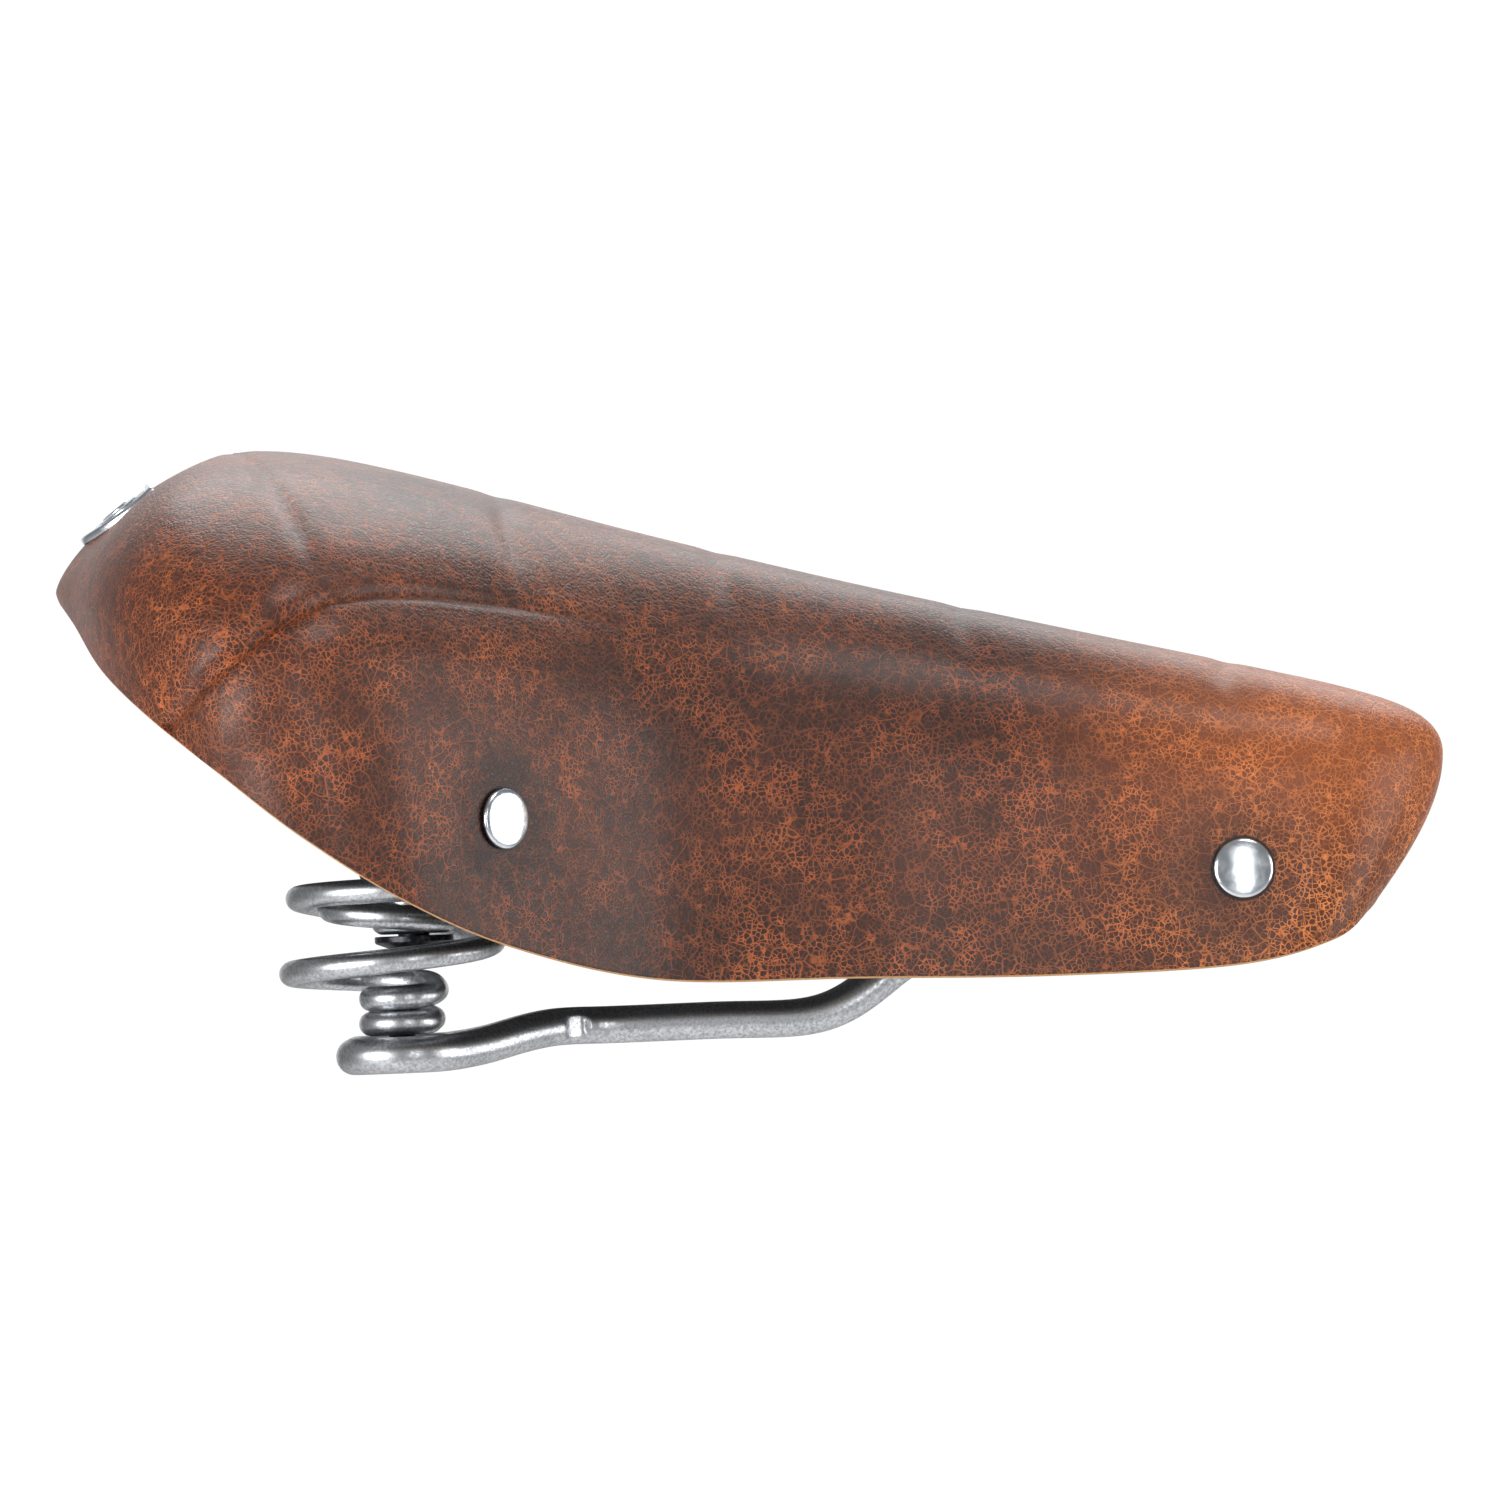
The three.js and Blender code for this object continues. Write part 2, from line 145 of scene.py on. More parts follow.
def ring_point(ring, t):
    """Uniform Catmull-Rom through a closed ring."""
    count = len(ring)
    s = np.mod(t, 1.0) * count
    i = np.floor(s).astype(int)
    f = (s - i)[..., None]
    a, b, c, d = (ring[(i + k) % count] for k in (-1, 0, 1, 2))
    return b + 0.5 * f * (c - a + f * (2 * a - 5 * b + 4 * c - d + f * (3 * (b - c) + d - a)))


def shell_drop(x):
    """Depth of the shell's top below the crown: the foam is thickest above the springs."""
    return 12 + 0.152 * (118 - x) - 0.62 * np.maximum(0, -55 - x)


def skin(t, v, inset=0.0, drop=0.0):
    """Points of the skin, t round the saddle and v down a section: 0 spine, 1 shoulder, 2 hem."""
    t, v = np.broadcast_arrays(np.asarray(t, float), np.asarray(v, float))
    crown, shoulder, hem = (ring_point(r, t) for r in (SPINE_RING, SHOULDER_RING, HEM_RING))
    inward = crown - shoulder
    inward[..., 2] = 0
    inward /= np.linalg.norm(inward, axis=-1, keepdims=True)
    shoulder = shoulder + inward * inset
    hem = hem + inward * inset
    lengthwise = np.cos(2 * np.pi * t)
    tail, nose = TAIL_EASE * np.abs(lengthwise) ** TAIL_REACH, NOSE_EASE * np.abs(lengthwise) ** NOSE_REACH
    power = 2 / (SIDE_ROUND - np.where(lengthwise > 0, tail, nose))
    angle = np.clip(v, 0, 1) * np.pi / 2
    across = np.sin(angle) ** power
    up = np.maximum(np.cos(angle), 0) ** power
    depth = drop(crown[..., 0]) if callable(drop) else drop
    x = crown[..., 0] + (shoulder[..., 0] - crown[..., 0]) * across
    tilt = NOSE_SLOPE * np.maximum(x - crown[..., 0], 0) * (1 - across)
    z = shoulder[..., 2] + (crown[..., 2] - depth - shoulder[..., 2]) * up + tilt
    top = np.stack([x, shoulder[..., 1] * across, z], -1)
    s = np.clip(v - 1, 0, 1)[..., None]
    bend = shoulder.copy()
    bend[..., 2] -= 0.4 * (shoulder[..., 2] - hem[..., 2])
    skirt = (1 - s) ** 2 * shoulder + 2 * s * (1 - s) * bend + s ** 2 * hem
    return np.where((v <= 1)[..., None], top, skirt)


def outward(t, v):
    """Unit normals of the skin."""
    step = 1e-4
    along = skin(t + step, v) - skin(t - step, v)
    down = skin(t, np.minimum(v + 10 * step, 2)) - skin(t, np.maximum(v - 10 * step, 0))
    normal = np.cross(along, down)
    return normal / np.maximum(np.linalg.norm(normal, axis=-1, keepdims=True), 1e-9)


def standing(t, v):
    """Matrix whose +Z stands out of the skin at (t, v)."""
    at = Vector(skin(t, v) * MM)
    turn = Vector((0, 0, 1)).rotation_difference(Vector(outward(np.float64(t), np.float64(v))))
    return Matrix.Translation(at) @ turn.to_matrix().to_4x4()


def bump(distance, width):
    """Bell curve: 1 at no distance, near 0 beyond twice the width."""
    return np.exp(-(distance / width) ** 2)


def relief(t, v, points):
    """How far the upholstery stands proud of the plain skin, in millimetres."""
    x, y, z = points[..., 0], points[..., 1], points[..., 2]
    across = np.sin(np.clip(v, 0, 1) * np.pi / 2)
    raised = np.zeros_like(x)
    for start, run, reach in CHANNELS:
        share = np.clip((reach - across) / 0.3, 0, 1)
        depth = CHANNEL_DEPTH * share * share * (3 - 2 * share) * np.clip(0.3 + 1.6 * across, 0, 1)
        raised -= depth * bump(x - start - run * across ** 1.3, CHANNEL_WIDTH)
    line_x, line_z = np.array(CREASE, float).T
    slope = np.gradient(line_z, line_x)
    tilt = np.interp(x, line_x, slope)
    off = (z - np.interp(x, line_x, line_z)) / np.sqrt(1 + tilt ** 2)
    fade = np.clip((-12 - x) / 45, 0, 1) * np.clip((np.abs(y) - 35) / 25, 0, 1)
    puff = 1.1 * np.clip((x + 102) / 12, 0, 1)
    raised += fade * (puff * bump(np.abs(off) - 8, 7) - 1.4 * bump(off, 1.3))
    badge = skin(0.0, BADGE_V)
    near_badge = bump(np.hypot(x - badge[0], z - badge[2]), 11)
    raised -= 0.8 * near_badge * np.clip((np.abs(y) - 3) / 9, 0, 1) * np.clip((30 - np.abs(y)) / 14, 0, 1)
    for place in RIVETS.values():
        for sign in (1, -1):
            centre = skin(place[0], place[1]) * (1, sign, 1)
            gap = np.linalg.norm(points - centre, axis=-1)
            raised -= 0.75 * bump(np.maximum(gap - CAP_R, 0), 6)
    return raised


# ---- meshes -----------------------------------------------------------------

def make(name, vertices, faces, materials, picks=None, smooth=True, sharp_deg=35):
    """New object from vertices in millimetres; picks gives each face's place in materials."""
    mesh = bpy.data.meshes.new(name)
    mesh.from_pydata([tuple(p) for p in np.asarray(vertices, float) * MM], [], faces)
    for material in materials:
        mesh.materials.append(material)
    if picks is not None:
        mesh.polygons.foreach_set("material_index", picks)
    if smooth:
        mesh.polygons.foreach_set("use_smooth", [True] * len(mesh.polygons))
    work = bmesh.new()
    work.from_mesh(mesh)
    bmesh.ops.remove_doubles(work, verts=work.verts, dist=1e-6)
    bmesh.ops.dissolve_degenerate(work, edges=work.edges, dist=1e-7)
    bmesh.ops.recalc_face_normals(work, faces=work.faces)
    limit = math.radians(sharp_deg)
    for edge in work.edges:
        if len(edge.link_faces) == 2 and edge.calc_face_angle(0) > limit:
            edge.smooth = False
    work.to_mesh(mesh)
    work.free()
    obj = bpy.data.objects.new(name, mesh)
    bpy.context.scene.collection.objects.link(obj)
    return obj


def bevel(obj, width, segments=2):
    modifier = obj.modifiers.new("bevel", "BEVEL")
    modifier.width = width * MM
    modifier.segments = segments
    modifier.limit_method = "ANGLE"
    modifier.angle_limit = math.radians(35)
    modifier.harden_normals = True
    return obj


def rows_to_faces(count, rows):
    """Quads of a closed band: count columns round, rows down."""
    faces = []
    for i in range(count):
        here, after = i * rows, (i + 1) % count * rows
        for j in range(rows - 1):
            faces.append((here + j, after + j, after + j + 1, here + j + 1))
    return faces


def turned(name, profile, material, matrix, segments=64):
    """Solid turned about Z from (radius, height) pairs that end on the axis or close on themselves."""
    points = np.array(profile, float)
    closed = points[0][0] > 0
    if closed:
        points = points[:-1]
    angles = np.linspace(0, 2 * np.pi, segments, endpoint=False)
    rows = len(points)
    vertices = [(r * math.cos(a), r * math.sin(a), z) for a in angles for r, z in points]
    faces = rows_to_faces(segments, rows)
    if closed:
        for i in range(segments):
            here, after = i * rows, (i + 1) % segments * rows
            faces.append((here + rows - 1, after + rows - 1, after, here))
    obj = make(name, vertices, faces, [material])
    obj.data.transform(matrix)
    return obj


def prism(name, outline, low, high, material):
    """Straight-sided solid on an (x, y) outline."""
    count = len(outline)
    vertices = [(x, y, low) for x, y in outline] + [(x, y, high) for x, y in outline]
    faces = [tuple(range(count)), tuple(range(count, 2 * count))]
    faces += [(i, (i + 1) % count, count + (i + 1) % count, count + i) for i in range(count)]
    return make(name, vertices, faces, [material])


def sweep(name, path, radius, material, sides=24):
    """Round wire along a path, its ends closed and slightly rounded."""
    path = np.asarray(path, float)
    tangent = np.gradient(path, axis=0)
    tangent /= np.linalg.norm(tangent, axis=1, keepdims=True)
    frames = []
    side = np.cross(tangent[0], (0.1, 0.2, 1.0))
    for direction in tangent:
        side = side - direction * side.dot(direction)
        side /= np.linalg.norm(side)
        frames.append((side, np.cross(direction, side)))
    rings = []
    turns = np.linspace(0, 2 * np.pi, sides, endpoint=False)
    ends = [(0, -1, 0.55), (0, -0.55, 0.9)] + [(k, 0, 1) for k in range(len(path))]
    ends += [(len(path) - 1, 0.55, 0.9), (len(path) - 1, 1, 0.55)]
    for k, reach, scale in ends:
        first, second = frames[k]
        centre = path[k] + tangent[k] * reach * 0.12 * radius * 2
        rings.append([centre + radius * scale * (math.cos(a) * first + math.sin(a) * second) for a in turns])
    vertices = [p for ring in rings for p in ring]
    last = len(rings) - 1
    faces = []
    for k in range(last):
        for i in range(sides):
            here, after = k * sides + i, k * sides + (i + 1) % sides
            faces.append((here, after, after + sides, here + sides))
    faces += [tuple(range(sides)), tuple(last * sides + i for i in range(sides))]
    return make(name, vertices, faces, [material])


def centripetal(points, steps):
    """Open centripetal Catmull-Rom curve, as a dense polyline."""
    points = np.array(points, float)
    ghost = [2 * points[0] - points[1], *points, 2 * points[-1] - points[-2]]
    f = np.linspace(0, 1, steps, endpoint=False)[:, None]
    pieces = []
    for a, b, c, d in zip(ghost, ghost[1:], ghost[2:], ghost[3:]):
        first, middle, final = (max(np.linalg.norm(q - p) ** 0.5, 1e-6)
                                for p, q in ((a, b), (b, c), (c, d)))
        leave = middle * ((b - a) / first - (c - a) / (first + middle) + (c - b) / middle)
        reach = middle * ((c - b) / middle - (d - b) / (middle + final) + (d - c) / final)
        pieces.append(b + leave * f + (3 * (c - b) - 2 * leave - reach) * f ** 2
                      + (2 * (b - c) + leave + reach) * f ** 3)
    return np.vstack([*pieces, points[-1:]])


def evenly(path, spacing):
    """The path again, with its points evenly spaced and its curvature eased."""
    length = np.concatenate([[0], np.cumsum(np.linalg.norm(np.diff(path, axis=0), axis=1))])
    marks = np.linspace(0, length[-1], int(length[-1] / spacing) + 1)
    even = np.stack([np.interp(marks, length, path[:, k]) for k in range(3)], 1)
    for _ in range(int(12 / spacing)):
        even[1:-1] = 0.25 * even[:-2] + 0.5 * even[1:-1] + 0.25 * even[2:]
    return even


# ---- material helpers ---------------------------------------------------------

def linear(r, g, b):
    """Linear colour from 0-255 screen values."""
    shares = [c / 255 for c in (r, g, b)]
    return tuple(((s + 0.055) / 1.055) ** 2.4 if s > 0.0404 else s / 12.92 for s in shares) + (1.0,)


class Nodes:
    """Small helper to write a material's node graph one line per node."""

    def __init__(self, name):
        self.material = bpy.data.materials.new(name)
        self.material.use_nodes = True
        self.tree = self.material.node_tree
        self.shader = self.tree.nodes["Principled BSDF"]
        self.where = self.tree.nodes.new("ShaderNodeTexCoord").outputs["Object"]

    def link(self, source, target):
        if isinstance(source, (int, float, tuple)):
            target.default_value = source
        else:
            self.tree.links.new(source, target)

    def add(self, kind, inputs=None, **options):
        node = self.tree.nodes.new(kind)
        for key, value in options.items():
            setattr(node, key, value)
        for key, value in (inputs or {}).items():
            self.link(value, node.inputs[key])
        return node

    def noise(self, scale, detail=3.0, roughness=0.55):
        return self.add("ShaderNodeTexNoise", {"Vector": self.where, "Scale": scale, "Detail": detail,
                                               "Roughness": roughness})

    def cells(self, scale, where):
        """How far each place is from the edge of its cell, in cells."""
        inputs = {"Vector": where, "Scale": scale}
        return self.add("ShaderNodeTexVoronoi", inputs, feature="DISTANCE_TO_EDGE").outputs["Distance"]

    def shifted(self, scale, amount):
        """The object's coordinates, wandering by amount metres."""
        wander = self.noise(scale, 2.0).outputs["Color"]
        centred = self.add("ShaderNodeVectorMath", {0: wander, 1: (0.5, 0.5, 0.5)}, operation="SUBTRACT")
        scaled = self.add("ShaderNodeVectorMath", {0: centred.outputs[0], "Scale": amount}, operation="SCALE")
        return self.add("ShaderNodeVectorMath", {0: self.where, 1: scaled.outputs[0]}).outputs[0]

    def ramp(self, value, low, high, to_low=0.0, to_high=1.0):
        return self.add("ShaderNodeMapRange", {"Value": value, "From Min": low, "From Max": high,
                                               "To Min": to_low, "To Max": to_high},
                        interpolation_type="SMOOTHSTEP").outputs[0]

    def math(self, operation, a, b=0.0):
        return self.add("ShaderNodeMath", {0: a, 1: b}, operation=operation).outputs[0]

    def mix(self, factor, a, b, blend="MIX"):
        node = self.add("ShaderNodeMix", data_type="RGBA", blend_type=blend)
        self.link(factor, node.inputs[0])
        self.link(a, node.inputs[6])
        self.link(b, node.inputs[7])
        return node.outputs[2]

    def axis(self, name, where=None):
        return self.add("ShaderNodeSeparateXYZ", {0: where or self.where}).outputs[name]

    def bumps(self, height, strength, distance, before=None):
        node = self.add("ShaderNodeBump", {"Height": height, "Strength": strength, "Distance": distance})
        if before is not None:
            self.link(before, node.inputs["Normal"])
        return node.outputs[0]

    def finish(self, **sockets):
        for key, value in sockets.items():
            self.link(value, self.shader.inputs[key.replace("_", " ")])
        return self.material


# ---- materials ----------------------------------------------------------------

def leather():
    """Dark brown leather: small raised cells parted by rubbed rusty creases, brightest at the nose."""
    n = Nodes("crackled_leather")
    fine = n.cells(980, n.shifted(420, 0.0008))
    broad = n.cells(290, n.shifted(150, 0.0035))
    pores = n.noise(2600, 2.0).outputs[0]
    cloud = n.noise(22, 4.0, 0.6).outputs[0]
    patch = n.noise(60, 4.0, 0.65).outputs[0]
    broken = n.ramp(n.noise(330, 2.0).outputs[0], 0.32, 0.62, 0.15, 1.0)
    x, z = n.axis("X"), n.axis("Z")
    tail = n.ramp(x, -0.05, -0.1)
    nose = n.ramp(x, 0.05, 0.135)
    worn = n.math("ADD", n.math("MULTIPLY", tail, 0.25), n.math("MULTIPLY", nose, 0.9))
    vein = n.math("MULTIPLY", n.ramp(fine, 0.12, 0.01), broken)
    crack = n.math("MULTIPLY", n.ramp(broad, 0.04, 0.0), 0.8)
    vivid = n.math("ADD", n.ramp(patch, 0.36, 0.66, 0.25, 0.8), n.math("MULTIPLY", worn, 0.3))
    share = n.math("MINIMUM", n.math("MULTIPLY", n.math("MAXIMUM", vein, crack), vivid), 1.0)
    dark = n.mix(n.ramp(cloud, 0.32, 0.68), linear(42, 22, 15), linear(68, 36, 25))
    dark = n.mix(worn, dark, linear(94, 44, 21))
    # Painted shade: the dark tone deepens towards the hem, low on the skirt where it turns under.
    dark = n.mix(n.ramp(z, 0.034, 0.008, 0.0, 0.45), dark, linear(34, 18, 12))
    rubbed = n.mix(n.ramp(cloud, 0.35, 0.7), linear(166, 82, 40), linear(200, 108, 56))
    rubbed = n.mix(nose, rubbed, linear(228, 136, 70))
    colour = n.mix(share, dark, rubbed)
    colour = n.mix(n.math("MULTIPLY", nose, n.ramp(z, 0.02, 0.055, 0.05, 0.35)), colour, linear(200, 106, 48))
    # Painted shade round the rivets: darker dimples and a painted shadow line at the edge of each cap.
    colour = n.mix(shade_round_rivets(n), colour, (0.004, 0.0025, 0.002, 1.0))
    height = n.math("ADD", n.ramp(fine, 0.0, 0.3), n.math("MULTIPLY", n.ramp(broad, 0.0, 0.12), 0.8))
    normal = n.bumps(height, 0.55, 0.00019)
    normal = n.bumps(pores, 0.15, 0.00005, normal)
    rough = n.ramp(fine, 0.0, 0.35, 0.56, 0.42)
    return n.finish(Base_Color=colour, Roughness=rough, Normal=normal, Specular_IOR_Level=0.3,
                    Coat_Weight=0.2, Coat_Roughness=0.28)


def shade_round_rivets(n):
    """Painted shade in the dimple of each rivet and a painted shadow line in the gap at its cap, on both sides
    of the saddle.
    """
    both_sides = n.add("ShaderNodeVectorMath", {0: n.where}, operation="ABSOLUTE").outputs[0]
    folded = n.add("ShaderNodeCombineXYZ", {"X": n.axis("X"), "Y": n.axis("Y", both_sides), "Z": n.axis("Z")})
    total = 0.0
    for (t, v), strength in zip(RIVETS.values(), (0.6, 0.35)):
        centre = tuple(float(c) * MM for c in skin(t, v))
        reach = n.add("ShaderNodeVectorMath", {0: folded.outputs[0], 1: centre}, operation="DISTANCE")
        gap = reach.outputs["Value"]
        soft = n.ramp(gap, 0.02, 0.006, 0.0, strength)
        ring = n.ramp(gap, 0.0067, 0.0061)
        total = n.math("ADD", total, n.math("MAXIMUM", soft, ring))
    return n.math("MINIMUM", total, 0.96)


def raw_edge():
    """Undyed fibres where the cover was cut."""
    n = Nodes("raw_leather_edge")
    fibre = n.noise(1800, 3.0).outputs[0]
    colour = n.mix(fibre, linear(140, 98, 62), linear(206, 164, 116))
    return n.finish(Base_Color=colour, Roughness=0.8, Normal=n.bumps(fibre, 0.5, 0.0001))


def lining():
    """Woven backing cloth on the cover's inner face."""
    n = Nodes("backing_cloth")
    weave = n.add("ShaderNodeTexWave", {"Vector": n.where, "Scale": 320.0, "Distortion": 0.6}).outputs[1]
    cross = n.add("ShaderNodeTexWave", {"Vector": n.where, "Scale": 320.0, "Distortion": 0.6},
                  bands_direction="Z").outputs[1]
    cloth = n.math("MAXIMUM", weave, cross)
    colour = n.mix(cloth, linear(96, 84, 70), linear(150, 136, 116))
    return n.finish(Base_Color=colour, Roughness=0.9, Normal=n.bumps(cloth, 0.5, 0.00015))


def steel(name, shade, low, high, speckle=0.5):
    """Satin zinc-plated wire, speckled with fine grey spangle."""
    n = Nodes(name)
    grain = n.noise(1500, 4.0, 0.7).outputs[0]
    broad = n.noise(120, 3.0, 0.6).outputs[0]
    spots = n.ramp(grain, 0.36, 0.62)
    dull = n.mix(spots, linear(*(int(c * (1 - 0.5 * speckle)) for c in shade)), linear(*shade))
    colour = n.mix(n.ramp(broad, 0.35, 0.7, 0.0, 0.35), dull, linear(*(int(c * 0.8) for c in shade)))
    rough = n.ramp(grain, 0.3, 0.7, high, low)
    return n.finish(Base_Color=colour, Metallic=1.0, Roughness=rough, Normal=n.bumps(grain, 0.12, 0.00005))


def black_zinc():
    n = Nodes("black_zinc")
    grain = n.noise(900, 4.0, 0.6).outputs[0]
    colour = n.mix(n.ramp(grain, 0.4, 0.7), linear(38, 38, 41), linear(78, 78, 82))
    return n.finish(Base_Color=colour, Metallic=0.9, Roughness=n.ramp(grain, 0.3, 0.7, 0.28, 0.45),
                    Normal=n.bumps(grain, 0.15, 0.00005))


def chrome():
    n = Nodes("polished_chrome")
    haze = n.noise(300, 4.0, 0.6).outputs[0]
    fine = n.noise(4200, 2.0).outputs[0]
    colour = n.mix(n.ramp(haze, 0.4, 0.7), linear(206, 214, 222), linear(236, 238, 240))
    return n.finish(Base_Color=colour, Metallic=1.0, Roughness=n.ramp(haze, 0.3, 0.7, 0.17, 0.26),
                    Normal=n.bumps(fine, 0.04, 0.00002))


def enamel():
    """Dark gloss enamel."""
    n = Nodes("dark_enamel")
    grain = n.noise(700, 3.0).outputs[0]
    colour = n.mix(grain, linear(22, 24, 28), linear(44, 47, 52))
    return n.finish(Base_Color=colour, Roughness=n.ramp(grain, 0.3, 0.7, 0.18, 0.3), Coat_Weight=0.5,
                    Coat_Roughness=0.08, Normal=n.bumps(grain, 0.05, 0.00004))


def moulded_plastic():
    n = Nodes("moulded_plastic")
    grain = n.noise(1400, 3.0).outputs[0]
    cloud = n.noise(40, 3.0).outputs[0]
    colour = n.mix(cloud, linear(22, 22, 24), linear(36, 36, 38))
    return n.finish(Base_Color=colour, Roughness=n.ramp(grain, 0.3, 0.7, 0.5, 0.68),
                    Normal=n.bumps(grain, 0.3, 0.00012))


def foam():
    n = Nodes("open_cell_foam")
    cells = n.cells(700, n.shifted(300, 0.001))
    colour = n.mix(n.ramp(cells, 0.0, 0.25), linear(150, 132, 92), linear(212, 196, 150))
    return n.finish(Base_Color=colour, Roughness=0.95, Normal=n.bumps(cells, 0.8, 0.0004))


def floor_paint():
    n = Nodes("pale_floor")
    grain = n.noise(3.0, 3.0).outputs[0]
    return n.finish(Base_Color=n.mix(grain, (0.86, 0.86, 0.86, 1), (0.9, 0.9, 0.9, 1)), Roughness=0.9)


LEATHER = leather()
EDGE = raw_edge()
LINING = lining()
STEEL = steel("satin_steel", (206, 208, 212), 0.27, 0.41)
PLATED = steel("plated_steel", (206, 208, 210), 0.2, 0.34, 0.25)
BLACK = black_zinc()
CHROME = chrome()
ENAMEL = enamel()
PLASTIC = moulded_plastic()
FOAM = foam()


def join_in(piece, body, slot_name, *nodes):
    """Let a piece stand in for CAD nodes, and follow a body if one is named."""
    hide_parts(*nodes)
    if body:
        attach(piece, body)


# ---- upholstery -----------------------------------------------------------------

def layered(name, outer, inner, rim, materials, picks):
    """Closed body from an outer grid, an inner grid and the rim rows between them, all [round, down, xyz]."""
    grid = np.concatenate([outer, rim, inner[:, ::-1]], axis=1)
    count, rows = grid.shape[:2]
    faces = rows_to_faces(count, rows)
    return make(name, grid.reshape(-1, 3), faces, materials, np.tile(picks, count))


def skin_grid(count, v, inset=0.0, drop=0.0, share=1.0):
    """Grid of skin points, count columns round, moved in by inset and lifted by a share of the relief."""
    t = (np.arange(count) / count)[:, None]
    v = np.asarray(v, float)[None, :]
    plain = skin(t, v, inset, drop)
    lift = relief(t, np.broadcast_to(v, plain.shape[:2]), skin(t, v))
    return plain + outward(t, v) * (share * lift)[..., None]


def make_cover():
    count = KEYS_ROUND * 10 * FINE
    v = np.concatenate([np.linspace(0, 1, 60 * FINE, endpoint=False), np.linspace(1, 2, 32 * FINE)])
    outer = skin_grid(count, v)
    t = (np.arange(count) / count)[:, None]
    hem = np.array([[2.0]])
    rim = np.concatenate([skin(t, hem, inset) - (0, 0, fall) for inset, fall in CUT_EDGE], axis=1)
    inner = skin_grid(count, v[::3].tolist() + [2.0], COVER_T, COVER_T)
    rows = outer.shape[1] + rim.shape[1] + inner.shape[1] - 1
    picks = np.zeros(rows, int)
    picks[outer.shape[1]:] = 1
    picks[outer.shape[1] + rim.shape[1] - 1:] = 2
    cover = layered("cover_leather", outer, inner, rim, [LEATHER, EDGE, LINING], picks)
    join_in(cover, "seat", "leather", "cover")


def make_padding():
    count = KEYS_ROUND * 6
    v = np.linspace(0, PAD_END, 30)
    outer = skin_grid(count, v, PAD_INSET, PAD_INSET)
    inner = skin_grid(count, v, SHELL_INSET - PAD_GAP, lambda x: shell_drop(x) - PAD_GAP, 0.0)
    picks = np.zeros(2 * len(v) - 1, int)
    pad = layered("foam_padding", outer, inner, outer[:, :0], [FOAM], picks)
    join_in(pad, "seat", "foam", "padding")


make_cover()
make_padding()


# ---- base shell -------------------------------------------------------------------

def shell_underside(x, y):
    """Height of the shell's lower face near (x, y), for pieces that grow out of it."""
    t = np.linspace(0, 0.5, 160)[:, None]
    v = np.linspace(0, 1, 60)[None, :]
    points = skin(t, v, SHELL_INSET + SHELL_T, lambda s: shell_drop(s) + SHELL_T).reshape(-1, 3)
    return points[np.argmin(np.hypot(points[:, 0] - x, points[:, 1] - abs(y))), 2]


def make_shell():
    count = KEYS_ROUND * 8
    v = np.concatenate([np.linspace(0, 1, 30, endpoint=False), np.linspace(1, SHELL_END, 12)])
    outer = skin_grid(count, v, SHELL_INSET, shell_drop, 0.0)
    inner = skin_grid(count, v, SHELL_INSET + SHELL_T, lambda x: shell_drop(x) + SHELL_T, 0.0)
    picks = np.zeros(2 * len(v) - 1, int)
    shell = layered("base_shell_moulding", outer, inner, outer[:, :0], [PLASTIC], picks)
    join_in(shell, "seat", "plastic", "base_shell")


def rib(name, start, end, depth, thickness=1.8):
    """Thin upright web under the shell from start to end, both (x, y)."""
    steps = 14
    run = np.array(end, float) - start
    side = np.array([-run[1], run[0]]) / np.linalg.norm(run) * thickness / 2
    vertices, faces = [], []
    for k in range(steps + 1):
        at = np.array(start) + run * k / steps
        top = shell_underside(*at) + 0.6
        arch = depth * (0.45 + 0.55 * math.sin(math.pi * k / steps))
        for sign in (1, -1):
            for z in (top, top - arch):
                vertices.append((*(at + sign * side), z))
    for k in range(steps):
        a, b = 4 * k, 4 * k + 4
        faces += [(a, b, b + 1, a + 1), (a + 2, a + 3, b + 3, b + 2), (a + 1, b + 1, b + 3, a + 3),
                  (a, a + 2, b + 2, b)]
    faces += [(0, 1, 3, 2), (4 * steps, 4 * steps + 2, 4 * steps + 3, 4 * steps + 1)]
    return bevel(make(name, vertices, faces, [PLASTIC]), 0.3)


make_shell()
RIBS = [((-96, 0), (-24, 0)), ((-14, 0), (40, 0)), ((-90, 14), (-66, 33)), ((-47, 33), (-26, 14))]
for k, (start, end) in enumerate(RIBS):
    for side, sign in SIDES.items():
        if start[1] == 0 and sign < 0:
            continue
        web = rib(f"shell_rib_{k + 1}_{side}", (start[0], sign * start[1]), (end[0], sign * end[1]), 9.0)
        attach(web, "seat")


# ---- rivets and badge ---------------------------------------------------------------

CAP = [(0, -7.5), (1.5, -7.5), (1.5, -0.35), (CAP_R - 0.2, -0.35), (CAP_R, -0.2), (CAP_R, 0.15), (5.6, 0.4),
       (5.3, 0.58), (4.8, 0.7), (4.0, 0.84), (3.2, 0.95), (2.2, 1.05), (1.2, 1.1), (0, 1.12)]
WASHER = [(1.7, -7.9), (3.5, -7.9), (3.8, -7.7), (3.8, -7.1), (1.7, -7.1), (1.7, -7.9)]
for end, (t, v) in RIVETS.items():
    for side in SIDES:
        stand = standing(t if side == "left" else 1 - t, v)
        cap = turned(f"rivet_cap_{end}_{side}", CAP, CHROME, stand)
        join_in(cap, "seat", "chrome", f"rivet_{end}_{side}")
        washer = turned(f"rivet_burr_{end}_{side}", WASHER, PLATED, stand)
        join_in(washer, "seat", "steel", f"rivet_washer_{end}_{side}")


